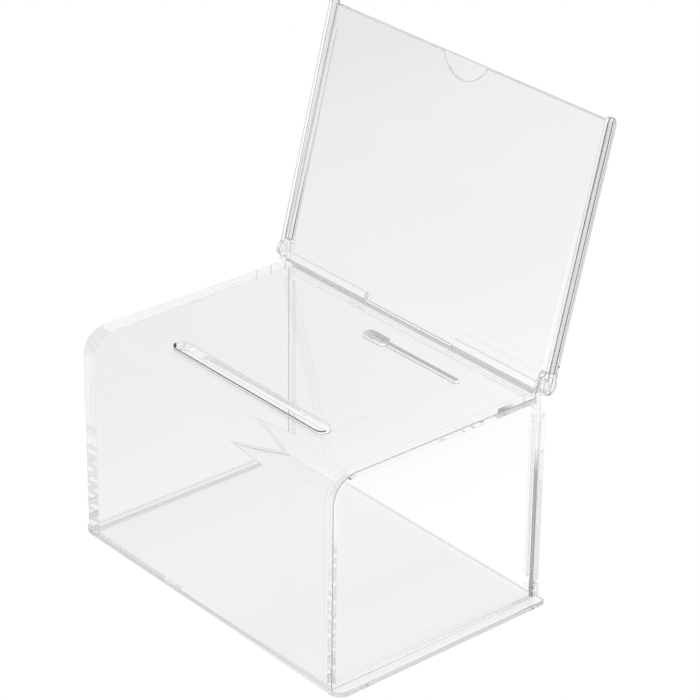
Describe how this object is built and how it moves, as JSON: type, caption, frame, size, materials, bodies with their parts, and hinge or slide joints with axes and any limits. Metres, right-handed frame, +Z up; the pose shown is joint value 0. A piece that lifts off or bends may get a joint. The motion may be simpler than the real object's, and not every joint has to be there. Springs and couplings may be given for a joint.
{
  "type": "donation box",
  "caption": "Clear plastic countertop donation box with a note slot, a pen-chain keyhole, a drop-down rear door and a hinged sign-pocket header that folds flat over the top.",
  "frame": {"origin": "centre of the base plate's underside, at ground level", "axes": "+Z up, -Y towards the front of the box, +X to the right seen from the front"},
  "size_m": [0.163, 0.1342, 0.2018],
  "materials": {
    "clear_acrylic": "polished"
  },
  "bodies": {
    "box": {"front_top_sheet": "clear_acrylic", "side_panel_left": "clear_acrylic", "side_panel_right": "clear_acrylic", "base_plate": "clear_acrylic", "door_lug_left": "clear_acrylic", "door_lug_right": "clear_acrylic", "door_pin_left": "clear_acrylic", "door_pin_right": "clear_acrylic"},
    "header": {"header_back_panel": "clear_acrylic", "header_front_panel": "clear_acrylic", "header_spacer_left": "clear_acrylic", "header_spacer_right": "clear_acrylic", "header_ledge_left": "clear_acrylic", "header_ledge_right": "clear_acrylic", "header_flange_left": "clear_acrylic", "header_flange_right": "clear_acrylic", "header_pin_left": "clear_acrylic", "header_pin_right": "clear_acrylic"},
    "door": {"rear_door": "clear_acrylic", "door_rib_left": "clear_acrylic", "door_rib_right": "clear_acrylic"}
  },
  "joints": [
    {"name": "header_hinge", "type": "hinge", "parent": "box", "child": "header", "pos_m": [0, 0.0518, 0.0975], "axis": [1, 0, 0], "range_deg": [-25, 106]},
    {"name": "door_hinge", "type": "hinge", "parent": "box", "child": "door", "pos_m": [0, 0.052, 0.0058], "axis": [-1, 0, 0], "range_deg": [0, 93]}
  ]
}
